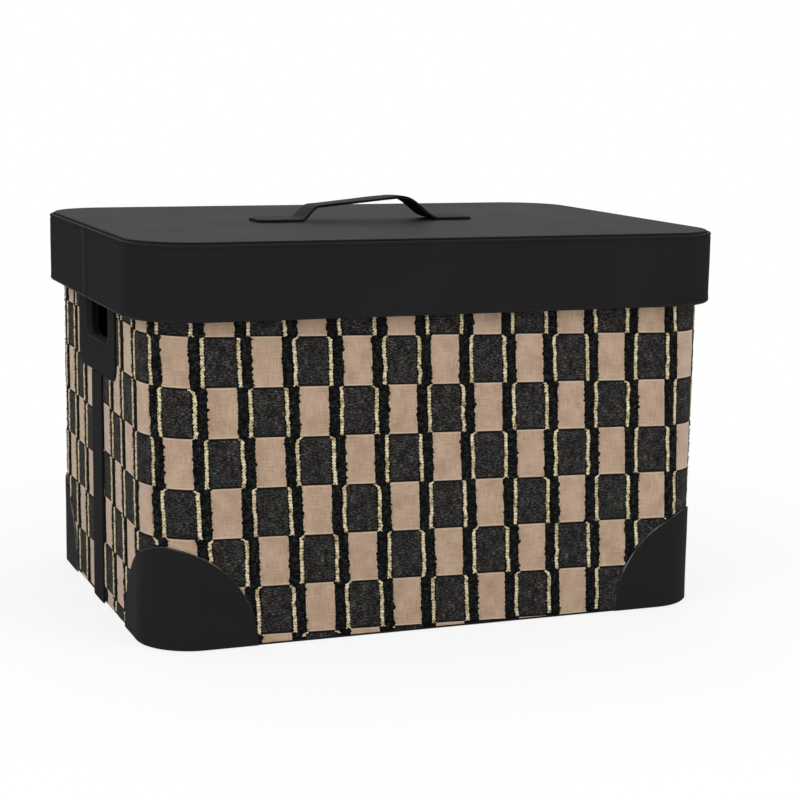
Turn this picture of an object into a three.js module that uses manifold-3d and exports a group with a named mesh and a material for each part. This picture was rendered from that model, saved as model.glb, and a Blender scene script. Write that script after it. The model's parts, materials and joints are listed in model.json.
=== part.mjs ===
// Storage box in woven cloth with leather trim, closed by a lift-off leather lid.
// Millimetres, +Z up. The origin is on the floor under the middle of the box.
// +X is the right end, -Y the front.

import * as THREE from 'three';
import { mergeVertices } from 'three/addons/utils/BufferGeometryUtils.js';
import Module from 'manifold-3d';

const wasm = await Module();
wasm.setup();

// Overall form
const lidLength = 460;
const lidDepth = 340;
const closedHeight = 290; // floor to the top of the lid, without the handle
const lidCornerRadius = 50;
const skirtHeight = 55; // top of the lid down to its hem
const clothInset = 11; // lid outline in to the cloth, all round

// Sheet thicknesses and fits
const leather = 1.2;
const cloth = 1.6;
const liningCloth = 1.2;
const wallBoard = 4;
const baseBoard = 5;
const skirtBoard = 3.5;
const lidBoard = 4;
const topCard = 2;
const padCard = 2;
const glueGap = 0.3; // glue line between two layers
const restGap = 0.3; // lid lining over the rim, lid closed
const boardJoint = 0.4; // gap between a flat board and a corner board

// Base
const baseCover = 1.6;
const baseCoverInset = 0.8; // cloth face in to the edge of the base cover
const baseCoverChamfer = 0.6;
const padClearance = 0.5; // floor pad to the wall lining

// Rim binding
const bindingLip = 12;
const bindingRound = 2;

// Hand hole, one in each end
const holeWidth = 78;
const holeHeight = 35;
const holeShows = 32; // lid hem down to the lower edge of the hole
const holeRound = 11;
const holeLip = 5; // leather turned over the lining inside

// Leather patch round the hand hole, and the strap below it
const patchLeather = 1.4;
const patchWidth = 122;
const patchMargin = 25; // hole down to the lower edge of the patch
const patchRound = 12;
const strapLeather = 1.6;
const strapWidth = 32;
const trimFoot = 0.5; // straps and guards end just clear of the floor

// Corner guards
const guardLeather = 1.3;
const guardReach = 76; // radius of the guard's edge on each face
const guardTip = 5; // height of the guard where it runs out
const guardEdge = 0.4; // bevel along its upper edge

// Lid edge
const beadRadius = 1.5; // rolled edge round the top of the skirt
const beadRise = 1.6; // bead above the leather turned in beside it
const grooveWidth = 0.5;
const topEdgeRound = 1.6;
const turnIn = 16; // leather turned in over the lid board
const hemRound = 1.8;
const hemReturn = 10; // leather turned up inside the skirt

// Handle on the lid, a sewn-down strap with a loose middle
const handleLength = 178;
const handleWidth = 32;
const handleLeather = 1.1;
const handleShift = -8; // middle of the handle from the middle of the lid
const handleLoop = 17.5; // clear height under its highest point
const handleEndRound = 10;
const riseStartShare = 0.186;
const riseEndShare = 0.286;
const fallStartShare = 0.623;
const fallEndShare = 0.858;
const leanShare = 0.66; // height of the low side of the crown over the high side

// One overrun for every cut
const overrun = 5;

// Fineness of the curves
const cornerSteps = 9;
const edgeSteps = 4;
const guardSteps = 12;
const handleSteps = 60;

// Insets of the layers, all measured in from the lid outline
const patchFace = clothInset - glueGap - patchLeather;
const wallOut = clothInset + cloth + glueGap;
const wallIn = wallOut + wallBoard;
const liningOut = wallIn + glueGap;
const liningIn = liningOut + liningCloth;
const skirtOut = leather + glueGap;
const skirtIn = skirtOut + skirtBoard;
const hemOut = skirtIn + glueGap;
const panelEdge = 2 * beadRadius + grooveWidth;

// Heights in the lid, from its top down
const topCoverLow = closedHeight - leather;
const topCardTop = topCoverLow - glueGap;
const topCardLow = topCardTop - topCard;
const turnInTop = topCardLow - glueGap;
const turnInLow = turnInTop - leather;
const lidBoardTop = turnInLow - glueGap;
const lidBoardLow = lidBoardTop - lidBoard;
const lidLiningTop = lidBoardLow - glueGap;
const lidLiningLow = lidLiningTop - liningCloth;
const hemLow = closedHeight - skirtHeight;
const skirtBoardLow = hemLow + leather + glueGap;
const rimTop = lidLiningLow - restGap;

// Heights in the box, from the floor up
const wallLow = baseCover + glueGap;
const wallTop = rimTop - leather - glueGap;
const baseBoardTop = wallLow + baseBoard;
const padLow = baseBoardTop + glueGap;
const padTop = padLow + padCard;
const lipLow = rimTop - bindingLip;
const underLip = lipLow - glueGap;
const holeSill = hemLow - holeShows;
const patchFoot = holeSill - patchMargin;

const materials = {
  leather: new THREE.MeshStandardMaterial({ color: 0x242426, roughness: 0.5, metalness: 0 }),
  cloth: new THREE.MeshStandardMaterial({ color: 0x8f7b6a, roughness: 0.95, metalness: 0 }),
  lining: new THREE.MeshStandardMaterial({ color: 0x2c2a2b, roughness: 0.9, metalness: 0 }),
  board: new THREE.MeshStandardMaterial({ color: 0x9a8260, roughness: 0.85, metalness: 0 }),
  card: new THREE.MeshStandardMaterial({ color: 0x8c8474, roughness: 0.9, metalness: 0 }),
  baseSheet: new THREE.MeshStandardMaterial({ color: 0x1d1d1e, roughness: 0.85, metalness: 0 }),
};

const storageBox = new THREE.Group();
const box = new THREE.Group();
const lid = new THREE.Group();
storageBox.add(box, lid);

function addPiece(group, name, geometry, material) {
  const piece = new THREE.Mesh(geometry, material);
  piece.name = name;
  group.add(piece);
  return piece;
}

// Solids

// A rounded rectangle, anticlockwise, drawn in by an inset, or out by a negative one
function roundedOutline(length, depth, radius, inset) {
  const points = [];
  const sides = [[1, 1], [-1, 1], [-1, -1], [1, -1]];
  sides.forEach(([sideX, sideY], corner) => {
    for (let step = 0; step <= cornerSteps; step += 1) {
      const angle = (corner + step / cornerSteps) * Math.PI / 2;
      points.push([
        sideX * (length / 2 - radius) + (radius - inset) * Math.cos(angle),
        sideY * (depth / 2 - radius) + (radius - inset) * Math.sin(angle),
      ]);
    }
  });
  return points;
}

// Skins a row of rings that have as many points each. A row that isn't joined
// end to end is closed by a flat face at each end.
function loft(rings, joined) {
  const count = rings[0].length;
  const index = [];
  const spans = joined ? rings.length : rings.length - 1;
  for (let ring = 0; ring < spans; ring += 1) {
    const here = ring * count;
    const next = ((ring + 1) % rings.length) * count;
    for (let step = 0; step < count; step += 1) {
      const after = (step + 1) % count;
      index.push(here + step, here + after, next + after);
      index.push(here + step, next + after, next + step);
    }
  }
  if (!joined) {
    const last = (rings.length - 1) * count;
    for (let step = 1; step < count - 1; step += 1) {
      index.push(0, step + 1, step);
      index.push(last, last + step, last + step + 1);
    }
  }
  const geometry = new THREE.BufferGeometry();
  geometry.setAttribute('position', new THREE.Float32BufferAttribute(rings.flat(2), 3));
  geometry.setIndex(index);
  return geometry;
}

// Carries a profile of [inset, height] points round a rounded rectangle. The profile
// runs up the outside, in over the top and down the inside, or ends in two flat faces.
function sweep(profile, joined, length = lidLength, depth = lidDepth, radius = lidCornerRadius) {
  const rings = profile.map(([inset, height]) => (
    roundedOutline(length, depth, radius, inset).map(([x, y]) => [x, y, height])
  ));
  return loft(rings, joined);
}

// A flat sheet with the lid's outline drawn in by an inset
function sheet(inset, low, high) {
  return sweep([[inset, low], [inset, high]], false);
}

// A band with upright faces
function band(outside, inside, low, high) {
  return sweep([[outside, low], [outside, high], [inside, high], [inside, low]], true);
}

// Points on a quarter turn in [inset, height], about a centre
function quarterTurn(inset, height, radius, startAngle, direction) {
  const points = [];
  for (let step = 0; step <= edgeSteps; step += 1) {
    const angle = startAngle + direction * (step / edgeSteps) * Math.PI / 2;
    points.push([inset - radius * Math.cos(angle), height + radius * Math.sin(angle)]);
  }
  return points;
}

function solidOf(geometry) {
  const bare = geometry.clone();
  bare.deleteAttribute('normal');
  bare.deleteAttribute('uv');
  const merged = mergeVertices(bare);
  return new wasm.Manifold(new wasm.Mesh({
    numProp: 3,
    vertProperties: new Float32Array(merged.attributes.position.array),
    triVerts: new Uint32Array(merged.index.array),
  }));
}

function geometryOf(solid) {
  const mesh = solid.getMesh();
  const geometry = new THREE.BufferGeometry();
  geometry.setAttribute('position', new THREE.BufferAttribute(mesh.vertProperties, 3));
  geometry.setIndex(new THREE.BufferAttribute(mesh.triVerts, 1));
  return geometry;
}

function cut(geometry, tool) {
  return geometryOf(solidOf(geometry).subtract(solidOf(tool)));
}

function common(geometry, other) {
  return geometryOf(solidOf(geometry).intersect(solidOf(other)));
}

// A rounded rectangle as a shape to extrude, about its own middle
function roundedShape(width, height, radius, centreHeight = 0) {
  const shape = new THREE.Shape();
  roundedOutline(width, height, radius, 0).forEach(([across, up], place) => {
    if (place === 0) shape.moveTo(across, up + centreHeight);
    else shape.lineTo(across, up + centreHeight);
  });
  shape.closePath();
  return shape;
}

// Turns a shape drawn in Y and Z, and extruded, to stand across X
const acrossX = new THREE.Matrix4().makeBasis(
  new THREE.Vector3(0, 1, 0),
  new THREE.Vector3(0, 0, 1),
  new THREE.Vector3(1, 0, 0),
);

// Turns a shape drawn in X and Z, and extruded, to stand across Y
const acrossY = new THREE.Matrix4().makeBasis(
  new THREE.Vector3(1, 0, 0),
  new THREE.Vector3(0, 0, 1),
  new THREE.Vector3(0, -1, 0),
);

function extruded(shape, depth) {
  return new THREE.ExtrudeGeometry(shape, { depth, bevelEnabled: false });
}

// A plate that stands in the left end, its outer face at an inset from the lid outline
function endPlate(shape, inset, thickness) {
  const plate = extruded(shape, thickness);
  plate.applyMatrix4(acrossX);
  plate.translate(inset - lidLength / 2, 0, 0);
  return plate;
}

// Hand holes
const holeMiddle = holeSill + holeHeight / 2;

function holeShape(margin) {
  return roundedShape(
    holeWidth + 2 * margin,
    holeHeight + 2 * margin,
    holeRound + margin,
    holeMiddle,
  );
}

// Clears the edging round each hand hole, through both ends at once
const holeMargin = leather + glueGap;
const holeTool = extruded(holeShape(holeMargin), lidLength + 2 * overrun);
holeTool.applyMatrix4(acrossX);
holeTool.translate(-lidLength / 2 - overrun, 0, 0);

// Flat wall boards between the corner boards. The two ends have a hand hole.
const flatLength = lidLength - 2 * lidCornerRadius - 2 * boardJoint;
const flatDepth = lidDepth - 2 * lidCornerRadius - 2 * boardJoint;

function addFlatWalls(group, prefix, outside, thickness, low, high, holed) {
  const height = high - low;
  const middle = low + height / 2;
  const reach = lidDepth / 2 - outside - thickness / 2;
  const long = new THREE.BoxGeometry(flatLength, thickness, height);
  addPiece(group, `${prefix}_front`, long, materials.board).position.set(0, -reach, middle);
  addPiece(group, `${prefix}_back`, long.clone(), materials.board).position.set(0, reach, middle);
  const face = new THREE.Shape();
  face.moveTo(-flatDepth / 2, low);
  face.lineTo(flatDepth / 2, low);
  face.lineTo(flatDepth / 2, high);
  face.lineTo(-flatDepth / 2, high);
  face.closePath();
  if (holed) face.holes.push(holeShape(holeMargin));
  const end = endPlate(face, outside, thickness);
  addPiece(group, `${prefix}_left`, end, materials.board);
  addPiece(group, `${prefix}_right`, end.clone(), materials.board).rotation.z = Math.PI;
}

// The four corners, from the back right one anticlockwise
const corners = [
  { name: 'back_right', sideX: 1, sideY: 1 },
  { name: 'back_left', sideX: -1, sideY: 1 },
  { name: 'front_left', sideX: -1, sideY: -1 },
  { name: 'front_right', sideX: 1, sideY: -1 },
];

// Places a piece that is drawn about the centre of the back right corner
function addCorners(group, prefix, geometry, material) {
  corners.forEach(({ name, sideX, sideY }, turn) => {
    const piece = addPiece(group, `${prefix}_${name}`, geometry.clone(), material);
    piece.position.x = sideX * (lidLength / 2 - lidCornerRadius);
    piece.position.y = sideY * (lidDepth / 2 - lidCornerRadius);
    piece.rotation.z = turn * Math.PI / 2;
  });
}

// A board bent to a quarter turn
function cornerBoard(outside, thickness, low, high) {
  const shape = new THREE.Shape();
  shape.absarc(0, 0, lidCornerRadius - outside, 0, Math.PI / 2, false);
  shape.absarc(0, 0, lidCornerRadius - outside - thickness, Math.PI / 2, 0, true);
  shape.closePath();
  const board = new THREE.ExtrudeGeometry(shape, {
    depth: high - low,
    bevelEnabled: false,
    curveSegments: cornerSteps,
  });
  board.translate(0, 0, low);
  return board;
}

// Box: base, walls, cloth and lining
function buildBase() {
  const edge = clothInset + baseCoverInset;
  const cover = sweep([
    [edge + baseCoverChamfer, 0],
    [edge, baseCoverChamfer],
    [edge, baseCover],
  ], false);
  addPiece(box, 'base_cover', cover, materials.baseSheet);
  addPiece(box, 'base_board', sheet(liningOut, wallLow, baseBoardTop), materials.board);
  addPiece(box, 'base_pad', sheet(liningIn + padClearance, padLow, padTop), materials.lining);
}

function buildWalls() {
  addFlatWalls(box, 'wall_board', wallOut, wallBoard, wallLow, wallTop, true);
  const corner = cornerBoard(wallOut, wallBoard, wallLow, wallTop);
  addCorners(box, 'wall_corner', corner, materials.board);
  const outerCloth = band(clothInset, clothInset + cloth, wallLow, underLip);
  addPiece(box, 'outer_cloth', cut(outerCloth, holeTool), materials.cloth);
  const lining = band(liningOut, liningIn, padLow, underLip);
  addPiece(box, 'wall_lining', cut(lining, holeTool), materials.lining);
}

// Leather folded over the top edge of the walls, flush with the cloth and the lining
function buildRimBinding() {
  const lipOut = wallOut - glueGap - leather;
  const lipIn = wallIn + glueGap + leather;
  const binding = sweep([
    [lipOut, lipLow],
    ...quarterTurn(lipOut + bindingRound, rimTop - bindingRound, bindingRound, 0, 1),
    ...quarterTurn(lipIn - bindingRound, rimTop - bindingRound, bindingRound, Math.PI / 2, 1),
    [lipIn, lipLow],
    [lipIn - leather, lipLow],
    [lipIn - leather, rimTop - leather],
    [lipOut + leather, rimTop - leather],
    [lipOut + leather, lipLow],
  ], true);
  addPiece(box, 'rim_binding', binding, materials.leather);
}

// Leather patch on each end: rounded lower corners, square top under the rim binding
function patchShape() {
  const half = patchWidth / 2;
  const shape = new THREE.Shape();
  shape.moveTo(-half, underLip);
  shape.lineTo(-half, patchFoot + patchRound);
  shape.absarc(patchRound - half, patchFoot + patchRound, patchRound, Math.PI, 1.5 * Math.PI, false);
  shape.lineTo(half - patchRound, patchFoot);
  shape.absarc(half - patchRound, patchFoot + patchRound, patchRound, 1.5 * Math.PI, 2 * Math.PI, false);
  shape.lineTo(half, underLip);
  shape.closePath();
  shape.holes.push(holeShape(holeMargin));
  return shape;
}

// Leather edging that runs through the wall and turns over the lining inside
function holeEdging() {
  const outer = patchFace - clothInset;
  const inner = liningIn + glueGap + leather - clothInset;
  const edging = sweep([
    [-leather, outer],
    [-leather, inner - leather],
    [-leather - holeLip, inner - leather],
    [-leather - holeLip, inner],
    [0, inner],
    [0, outer],
  ], true, holeWidth, holeHeight, holeRound);
  edging.applyMatrix4(acrossX);
  edging.translate(clothInset - lidLength / 2, 0, holeMiddle);
  return edging;
}

function addEnds(prefix, geometry) {
  addPiece(box, `${prefix}_left`, geometry, materials.leather);
  addPiece(box, `${prefix}_right`, geometry.clone(), materials.leather).rotation.z = Math.PI;
}

function buildEndTrim() {
  addEnds('end_patch', endPlate(patchShape(), patchFace, patchLeather));
  addEnds('hand_hole_edge', holeEdging());
  const strapTop = patchFoot - glueGap;
  const strap = new THREE.BoxGeometry(strapLeather, strapWidth, strapTop - trimFoot);
  const strapFace = clothInset - glueGap - strapLeather / 2;
  strap.translate(strapFace - lidLength / 2, 0, (strapTop + trimFoot) / 2);
  addEnds('end_strap', strap);
}

// Corner guard: leather bent round the corner, its edge a quarter circle on each face.
// It is drawn as rings from one tip to the other, about the centre of the corner.
function guardPoint(along, inset) {
  const clothRadius = lidCornerRadius - clothInset;
  const radius = lidCornerRadius - inset;
  const halfBend = clothRadius * Math.PI / 4;
  if (along > halfBend) return [halfBend - along, radius];
  if (along < -halfBend) return [radius, along + halfBend];
  const angle = Math.PI / 4 + along / clothRadius;
  return [radius * Math.cos(angle), radius * Math.sin(angle)];
}

function cornerGuard() {
  const clothRadius = lidCornerRadius - clothInset;
  const halfLength = guardReach - clothRadius + clothRadius * Math.PI / 4;
  const shift = guardReach - halfLength;
  const tipAngle = Math.asin(guardTip / guardReach);
  const topAngle = Math.acos(shift / guardReach);
  const inside = clothInset - glueGap;
  const outside = inside - guardLeather;
  const rings = [];
  for (let step = -guardSteps; step <= guardSteps; step += 1) {
    const share = Math.abs(step) / guardSteps;
    const angle = topAngle + (tipAngle - topAngle) * share;
    const along = Math.sign(step) * (guardReach * Math.cos(angle) - shift);
    const top = guardReach * Math.sin(angle);
    rings.push([
      [...guardPoint(along, outside), trimFoot],
      [...guardPoint(along, inside), trimFoot],
      [...guardPoint(along, inside), top],
      [...guardPoint(along, outside + guardEdge), top],
      [...guardPoint(along, outside), top - guardEdge],
    ]);
  }
  return loft(rings, false);
}

// Lid: boards, leather and lining
function buildLidBoards() {
  addPiece(lid, 'lid_board', sheet(hemOut, lidBoardLow, lidBoardTop), materials.board);
  const cardEdge = panelEdge + leather + glueGap;
  addPiece(lid, 'lid_top_card', sheet(cardEdge, topCardLow, topCardTop), materials.card);
  addFlatWalls(lid, 'lid_skirt_board', skirtOut, skirtBoard, skirtBoardLow, lidBoardTop, false);
  const corner = cornerBoard(skirtOut, skirtBoard, skirtBoardLow, lidBoardTop);
  addCorners(lid, 'lid_skirt_corner', corner, materials.board);
}

// Leather drawn over the top card, its edge rounded down into the groove
function buildTopCover() {
  const inside = panelEdge + leather;
  const cover = sweep([
    [inside, topCoverLow],
    [inside, topCardLow],
    [panelEdge, topCardLow],
    ...quarterTurn(panelEdge + topEdgeRound, closedHeight - topEdgeRound, topEdgeRound, 0, 1),
  ], false);
  addPiece(lid, 'lid_top_cover', cover, materials.leather);
}

// Leather round the skirt: hem turned up inside, bead along the top, edge turned in
function buildSkirtCover() {
  const beadTop = turnInTop + beadRise;
  const hemIn = hemOut + leather;
  const cover = sweep([
    ...quarterTurn(beadRadius, beadTop - beadRadius, beadRadius, 0, 1),
    ...quarterTurn(beadRadius, beadTop - beadRadius, beadRadius, Math.PI / 2, 1).slice(1),
    [2 * beadRadius, turnInTop],
    [turnIn, turnInTop],
    [turnIn, turnInLow],
    [leather, turnInLow],
    [leather, hemLow + leather],
    [hemOut, hemLow + leather],
    [hemOut, hemLow + hemReturn],
    [hemIn, hemLow + hemReturn],
    ...quarterTurn(hemIn - hemRound, hemLow + hemRound, hemRound, Math.PI, 1),
    ...quarterTurn(hemRound, hemLow + hemRound, hemRound, -Math.PI / 2, 1),
  ], true);
  addPiece(lid, 'lid_skirt_cover', cover, materials.leather);
}

function buildLidLining() {
  addPiece(lid, 'lid_top_lining', sheet(hemOut, lidLiningLow, lidLiningTop), materials.lining);
  const lining = band(hemOut, hemOut + liningCloth, hemLow + hemReturn + glueGap, lidLiningLow - glueGap);
  addPiece(lid, 'lid_skirt_lining', lining, materials.lining);
}

// Handle: two layers of leather sewn down at both ends, slack in the middle.
// The loop rises steeply, leans up to its crown and falls to the other tab.
function handleHeight(share) {
  const rise = THREE.MathUtils.smootherstep(share, riseStartShare, riseEndShare);
  const fall = THREE.MathUtils.smootherstep(share, fallStartShare, fallEndShare);
  const across = (share - riseEndShare) / (fallStartShare - riseEndShare);
  const lean = THREE.MathUtils.lerp(leanShare, 1, THREE.MathUtils.clamp(across, 0, 1));
  return handleLoop * lean * rise * (1 - fall);
}

function handleLayer(lower, upper) {
  const under = [];
  const over = [];
  const spanShare = 1 / handleSteps;
  for (let step = -1; step <= handleSteps + 1; step += 1) {
    const share = step * spanShare;
    const along = new THREE.Vector2(share * handleLength, handleHeight(share));
    const ahead = new THREE.Vector2(
      (share + spanShare) * handleLength,
      handleHeight(share + spanShare),
    );
    const behind = new THREE.Vector2(
      (share - spanShare) * handleLength,
      handleHeight(share - spanShare),
    );
    const tangent = ahead.sub(behind).normalize();
    const normal = new THREE.Vector2(-tangent.y, tangent.x);
    under.push(along.clone().addScaledVector(normal, lower));
    over.push(along.clone().addScaledVector(normal, upper));
  }
  const side = extruded(new THREE.Shape([...under, ...over.reverse()]), handleWidth + 2 * overrun);
  side.applyMatrix4(acrossY);
  side.translate(-handleLength / 2, handleWidth / 2 + overrun, 0);
  const plan = extruded(
    roundedShape(handleLength, handleWidth, handleEndRound),
    handleLoop + upper + 2 * overrun,
  );
  plan.translate(0, 0, -overrun);
  const layer = common(side, plan);
  layer.translate(handleShift, 0, closedHeight + glueGap);
  return layer;
}

function buildHandle() {
  addPiece(lid, 'handle_backing', handleLayer(0, handleLeather), materials.leather);
  const lower = handleLeather + glueGap;
  addPiece(lid, 'handle_strap', handleLayer(lower, lower + handleLeather), materials.leather);
}

buildBase();
buildWalls();
buildRimBinding();
buildEndTrim();
addCorners(box, 'corner_guard', cornerGuard(), materials.leather);
buildLidBoards();
buildTopCover();
buildSkirtCover();
buildLidLining();
buildHandle();

export default storageBox;
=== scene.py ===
# Storage box in checked cloth with leather trim and a lift-off leather lid.
# Metres, +Z up, as in the frame.

import json
import math
import bpy
import numpy as np
from mathutils import Matrix, Vector


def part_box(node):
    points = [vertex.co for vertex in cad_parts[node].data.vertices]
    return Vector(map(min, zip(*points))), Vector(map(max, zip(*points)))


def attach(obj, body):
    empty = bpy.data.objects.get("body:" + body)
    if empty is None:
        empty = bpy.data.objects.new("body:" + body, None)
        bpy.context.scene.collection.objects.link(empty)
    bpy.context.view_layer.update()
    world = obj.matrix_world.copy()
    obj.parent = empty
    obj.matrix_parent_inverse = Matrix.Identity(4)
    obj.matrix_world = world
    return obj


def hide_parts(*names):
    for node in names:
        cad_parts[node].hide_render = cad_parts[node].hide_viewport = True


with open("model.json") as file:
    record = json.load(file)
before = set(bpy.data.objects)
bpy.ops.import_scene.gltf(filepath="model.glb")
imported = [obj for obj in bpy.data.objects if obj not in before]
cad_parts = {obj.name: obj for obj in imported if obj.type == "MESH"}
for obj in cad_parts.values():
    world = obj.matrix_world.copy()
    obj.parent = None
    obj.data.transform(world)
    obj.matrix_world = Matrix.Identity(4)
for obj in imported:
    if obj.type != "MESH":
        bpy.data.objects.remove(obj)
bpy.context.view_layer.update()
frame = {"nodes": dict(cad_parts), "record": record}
mm = .001

# Outline of the walls, from the frame
clothLow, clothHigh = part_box("outer_cloth")
skirtLow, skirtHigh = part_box("lid_skirt_cover")
cornerRadius = 39 * mm  # of the cloth's face
straightX = clothHigh.x - cornerRadius
straightY = clothHigh.y - cornerRadius
bend = cornerRadius * math.pi / 2
girth = 4 * (straightX + straightY + bend)
lidOut = skirtHigh.x - clothHigh.x  # the lid's outline stands this far out of the cloth
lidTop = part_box("lid_top_cover")[1].z
hem = skirtLow.z


# Shapes

def around(s, out):
    # Plan of places s along the cloth, from the middle of the front, moved out of its face
    lengths = np.array([2 * straightX, bend, 2 * straightY, bend] * 2)
    starts = np.cumsum(lengths) - lengths
    s = np.mod(s + straightX, girth)
    leg = np.clip(np.searchsorted(starts, s, side="right") - 1, 0, len(lengths) - 1)
    along = s - starts[leg]
    side = leg // 2
    bent = leg % 2
    corners = np.array([(-1, -1), (1, -1), (1, 1), (-1, 1)]) * (straightX, straightY)
    angle = math.pi / 2 * (side - 1) + bent * along / cornerRadius
    normal = np.stack([np.cos(angle), np.sin(angle)], -1)
    tangent = np.stack([-np.sin(angle), np.cos(angle)], -1)
    base = corners[(side + bent) % 4] + tangent * (along * (1 - bent))[..., None]
    return base + normal * (cornerRadius + out)[..., None]


def stations(step, perBend, also=()):
    # Places round the whole outline, closer together in the corners
    places = [np.array(also)]
    here = -straightX
    for length in (2 * straightX, bend, 2 * straightY, bend) * 2:
        count = perBend if length == bend else round(length / step)
        places.append(here + length * np.arange(count) / count)
        here += length
    return np.unique(np.concatenate(places))


def onWall(s, z, out):
    # Points at places s round the cloth and heights z, moved out of its face
    s, z, out = np.broadcast_arrays(s, z, out)
    return np.concatenate([around(s, out), z[..., None]], -1)


def sweep(profile, places):
    # Carries a profile of (out, height) round the outline
    out, height = np.array(profile).T
    return onWall(places[None, :], height[:, None], out[:, None])


def inward(profile):
    # A profile given as (inset from the lid's outline, height), in millimetres
    return [(lidOut - inset * mm, height * mm) for inset, height in profile]


def arc(across, up, radius, start, end, steps):
    # Points on an arc about a centre, angles in degrees
    turns = np.radians(np.linspace(start, end, steps + 1))
    return [(across + radius * math.cos(turn), up + radius * math.sin(turn)) for turn in turns]


softEdge = ((0, 1), (.3, .3), (1, 0))  # in from the side and down from the face, as shares


def roundedRectangle(halfWidth, halfHeight, radius, perCorner=8):
    # Anticlockwise, from the right side
    points = []
    for corner, (sideX, sideY) in enumerate([(1, 1), (-1, 1), (-1, -1), (1, -1)]):
        centre = (sideX * (halfWidth - radius), sideY * (halfHeight - radius))
        points += arc(*centre, radius, corner * 90, corner * 90 + 90, perCorner)
    return np.array(points)


def gridFaces(rows, columns, joinRows=False, joinColumns=False):
    index = np.arange(rows * columns).reshape(rows, columns)
    if joinRows:
        index = np.vstack([index, index[:1]])
    if joinColumns:
        index = np.hstack([index, index[:, :1]])
    corners = (index[:-1, :-1], index[:-1, 1:], index[1:, 1:], index[1:, :-1])
    return np.stack(corners, -1).reshape(-1, 4)


def hoop(points):
    # Faces of a closed section, a point of it to each row, carried all the way round
    return gridFaces(*points.shape[:2], joinRows=True, joinColumns=True)


def rod(points, flip=False):
    # Faces of closed sections, one to a row, and a cap at each end
    rows, columns = points.shape[:2]
    ring = np.arange(columns)[None]
    faces = [gridFaces(rows, columns, joinColumns=True), ring[:, ::-1], ring + (rows - 1) * columns]
    return [part[:, ::-1] for part in faces] if flip else faces


def blocks(faces, count, size):
    # The same faces for each of several blocks of points
    return faces[None] + size * np.arange(count)[:, None, None]


def rowsOf(faces, perRow):
    return np.arange(len(faces)) // perRow


def ease(low, high, value):
    share = np.clip((value - low) / (high - low), 0, 1)
    return share * share * (3 - 2 * share)


tables = {}
tableSide = 256


def wander(seed, x, y):
    # A smooth random field from -1 to 1 over a plane, one knot to a unit
    if seed not in tables:
        tables[seed] = np.random.default_rng(seed).uniform(-1, 1, (tableSide, tableSide))
    x, y = np.broadcast_arrays(x, y)
    column = np.floor(x).astype(int)
    row = np.floor(y).astype(int)
    across = ease(0, 1, x - column)
    up = ease(0, 1, y - row)
    knots = [
        tables[seed][(row + above) % tableSide, (column + beside) % tableSide]
        for above in (0, 1) for beside in (0, 1)
    ]
    low = knots[0] * (1 - across) + knots[1] * across
    high = knots[2] * (1 - across) + knots[3] * across
    return low * (1 - up) + high * up


def lumpy(seed, x, y, *fields):
    # Random fields one on another, each as (reach across, reach up, height)
    return sum(
        high * wander(seed + number, x / across, y / up)
        for number, (across, up, high) in enumerate(fields)
    )


creaseAngle = math.radians(38)  # from here on, faces meet in an edge


def placed(name, data):
    # A new object in the scene
    thing = bpy.data.objects.new(name, data)
    bpy.context.scene.collection.objects.link(thing)
    return thing


def addPiece(name, points, faces, finishes, body, nodes=(), weave=None, marks=None):
    # A mesh from arrays of faces, each array with one number of corners
    points = np.asarray(points, float).reshape(-1, 3)
    corners = np.concatenate([part.ravel() for part in faces])
    sizes = np.concatenate([np.full(len(part), part.shape[1]) for part in faces])
    used, corners = np.unique(corners, return_inverse=True)
    mesh = bpy.data.meshes.new(name)
    mesh.vertices.add(len(used))
    mesh.vertices.foreach_set("co", points[used].astype(np.float32).ravel())
    mesh.loops.add(len(corners))
    mesh.loops.foreach_set("vertex_index", corners.astype(np.int32).ravel())
    mesh.polygons.add(len(sizes))
    mesh.polygons.foreach_set("loop_start", (np.cumsum(sizes) - sizes).astype(np.int32))
    if weave is not None:
        layer = mesh.uv_layers.new(name="weave")
        layer.data.foreach_set("uv", weave.reshape(-1, 2)[used][corners.ravel()].ravel())
    for finish in finishes:
        mesh.materials.append(finish)
    if marks is not None:
        mesh.polygons.foreach_set("material_index", np.array(marks, np.int32))
    mesh.polygons.foreach_set("use_smooth", np.ones(len(sizes), bool))
    mesh.update(calc_edges=True)
    mesh.set_sharp_from_angle(angle=creaseAngle)
    mesh.validate()
    piece = placed(name, mesh)
    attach(piece, body)
    if nodes:
        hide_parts(*nodes)
    return piece


# Shader maths

def term(operation, reflected=False):
    # A method of a socket that adds a Math node
    def made(self, *others):
        terms = (*others, self) if reflected else (self, *others)
        return self.nodes.node("Math", {"operation": operation}, dict(enumerate(terms)))
    return made


class Socket:
    # An output of a node, for use in sums

    def __init__(self, nodes, output):
        self.nodes = nodes
        self.output = output

    def also(self, name):
        return Socket(self.nodes, self.output.node.outputs[name])

    __add__, __radd__ = term("ADD"), term("ADD", True)
    __sub__, __rsub__ = term("SUBTRACT"), term("SUBTRACT", True)
    __mul__, __rmul__ = term("MULTIPLY"), term("MULTIPLY", True)
    __truediv__, __rtruediv__ = term("DIVIDE"), term("DIVIDE", True)
    __mod__, __rmod__ = term("FLOORED_MODULO"), term("FLOORED_MODULO", True)
    __gt__, __lt__ = term("GREATER_THAN"), term("LESS_THAN")
    __abs__, floor, share = term("ABSOLUTE"), term("FLOOR"), term("FRACT")
    wave, most = term("SINE"), term("MAXIMUM")


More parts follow.
